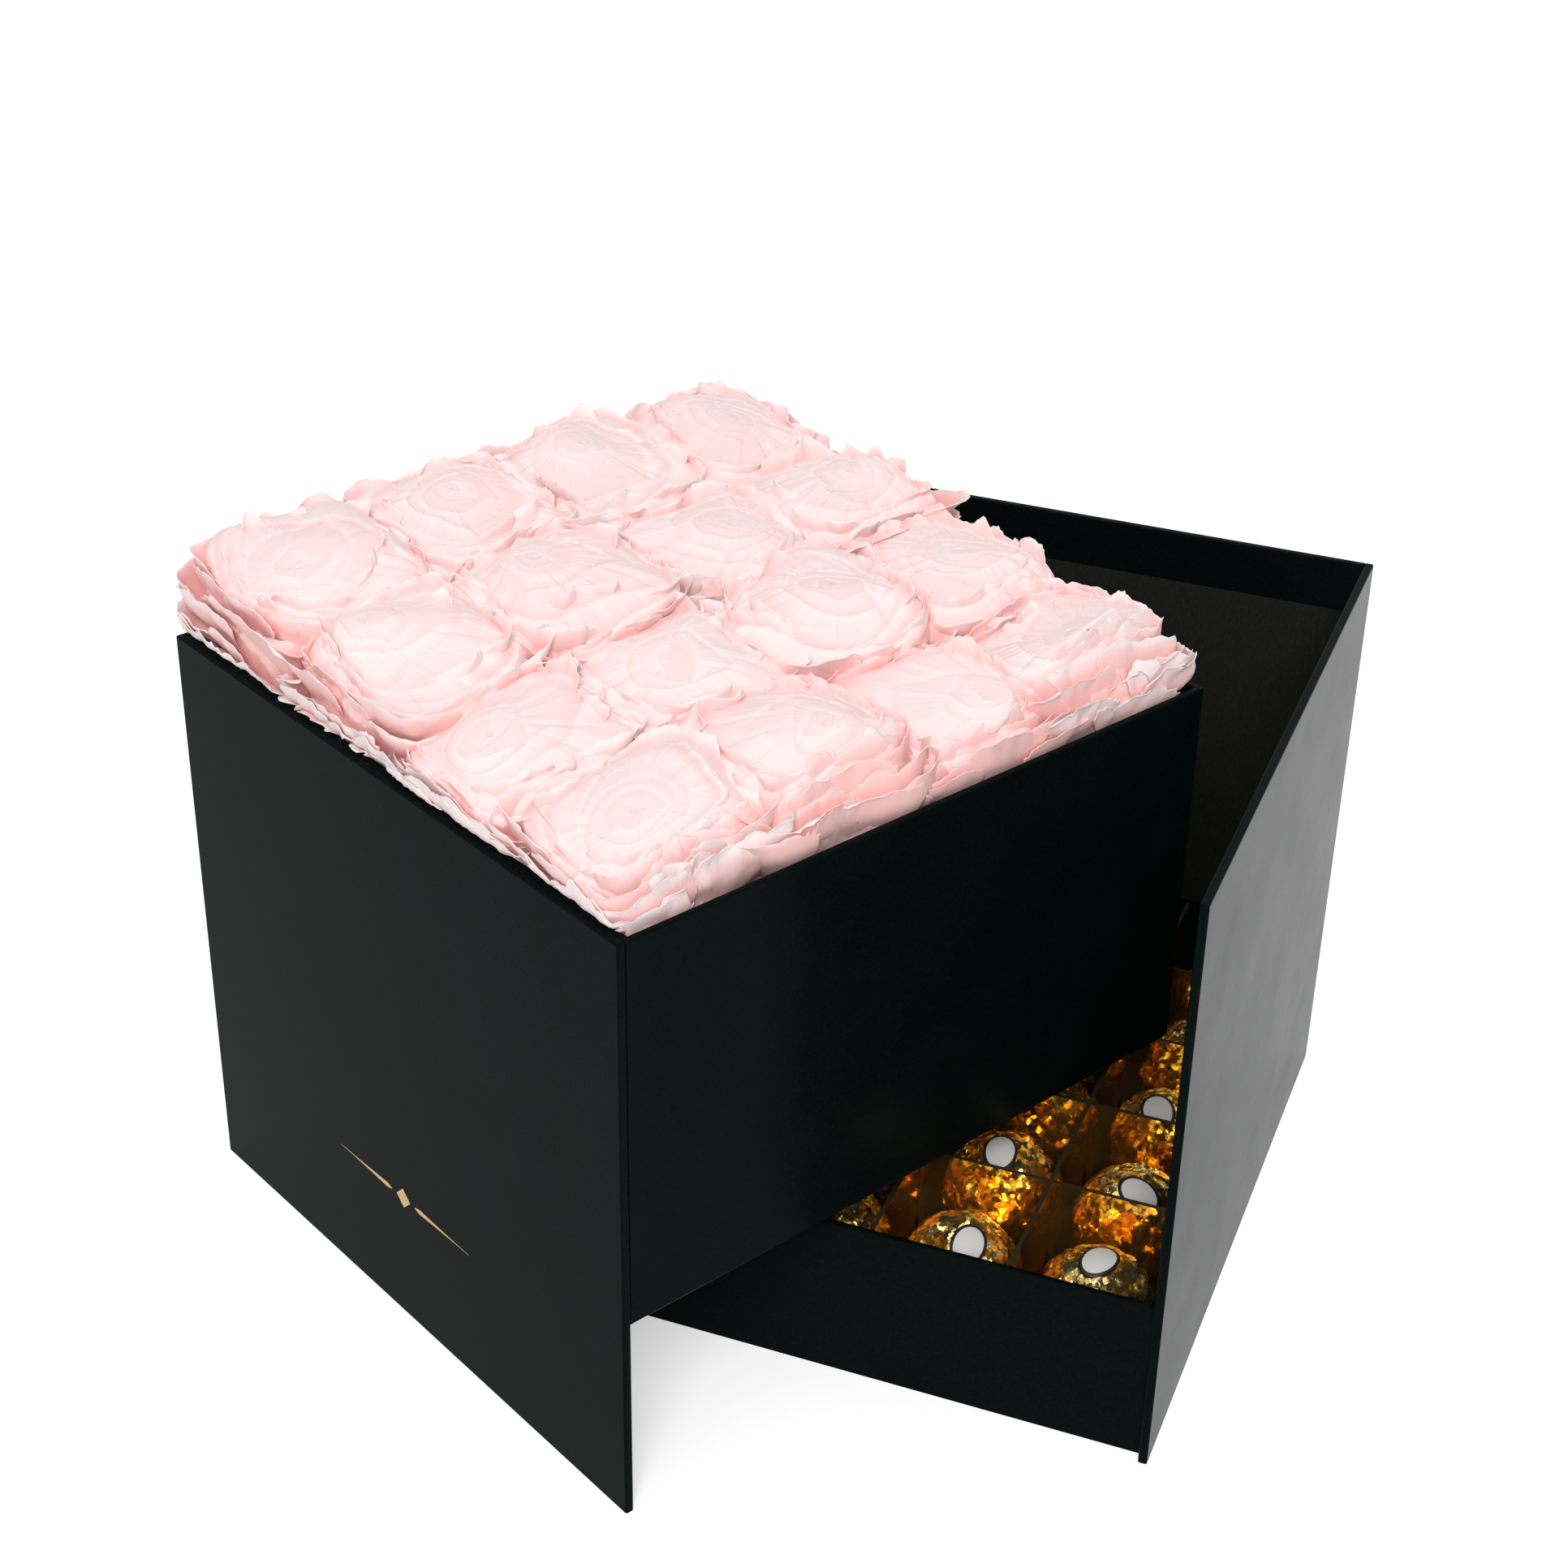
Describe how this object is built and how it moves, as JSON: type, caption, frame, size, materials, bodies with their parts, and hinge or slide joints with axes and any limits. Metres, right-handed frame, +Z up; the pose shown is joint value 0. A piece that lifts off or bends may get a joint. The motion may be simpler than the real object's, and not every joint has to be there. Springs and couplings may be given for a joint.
{
  "type": "flower box",
  "caption": "Square paper-wrapped gift box: a deep tray of roses swings about a back corner hinge to uncover a low divided tray of foil-wrapped chocolates.",
  "frame": {"origin": "on the surface it stands on, under the middle of the base's square footprint", "axes": "+X to the right panel, +Y to the back panel, +Z up; the flower box swings about +Z"},
  "size_m": [0.2929, 0.2686, 0.206],
  "materials": {
    "black_paper": "satin",
    "lining_paper": "matte",
    "hinge_cloth": "matte",
    "gold_card": "polished",
    "gold_foil": "gloss",
    "pad_tissue": "matte",
    "flower_foam": "matte",
    "petal": "matte",
    "stem": "matte"
  },
  "bodies": {
    "base": {"right_panel": "black_paper", "back_panel": "black_paper", "right_lining": "lining_paper", "back_lining": "lining_paper", "tray_floor": "black_paper", "tray_front_wall": "black_paper", "tray_back_wall": "black_paper", "tray_left_wall": "black_paper", "tray_right_wall": "black_paper", "divider_long_1": "gold_card", "divider_long_2": "gold_card", "divider_long_3": "gold_card", "divider_long_4": "gold_card", "divider_cross_1": "gold_card", "divider_cross_2": "gold_card", "divider_cross_3": "gold_card", "divider_cross_4": "gold_card", "cell_pads": "pad_tissue", "chocolate_row_1": "gold_foil", "chocolate_row_2": "gold_foil", "chocolate_row_3": "gold_foil", "chocolate_row_4": "gold_foil", "chocolate_row_5": "gold_foil", "hinge_spine": "black_paper", "hinge_cloth": "hinge_cloth"},
    "flower_box": {"front_panel": "black_paper", "left_panel": "black_paper", "front_lining": "lining_paper", "left_lining": "lining_paper", "flower_floor": "black_paper", "flower_front_wall": "black_paper", "flower_back_wall": "black_paper", "flower_left_wall": "black_paper", "flower_right_wall": "black_paper", "foam_block": "flower_foam", "rose_stems": "stem", "rose_1": "petal", "rose_2": "petal", "rose_3": "petal", "rose_4": "petal", "rose_5": "petal", "rose_6": "petal", "rose_7": "petal", "rose_8": "petal", "rose_9": "petal", "rose_10": "petal", "rose_11": "petal", "rose_12": "petal", "rose_13": "petal", "rose_14": "petal", "rose_15": "petal", "rose_16": "petal"}
  },
  "joints": [
    {"name": "flower_box_swing", "type": "hinge", "parent": "base", "child": "flower_box", "pos_m": [-0.09875, 0.09875, 0], "axis": [0, 0, 1], "range_deg": [-62, 28], "deforming": ["hinge_cloth"]}
  ]
}
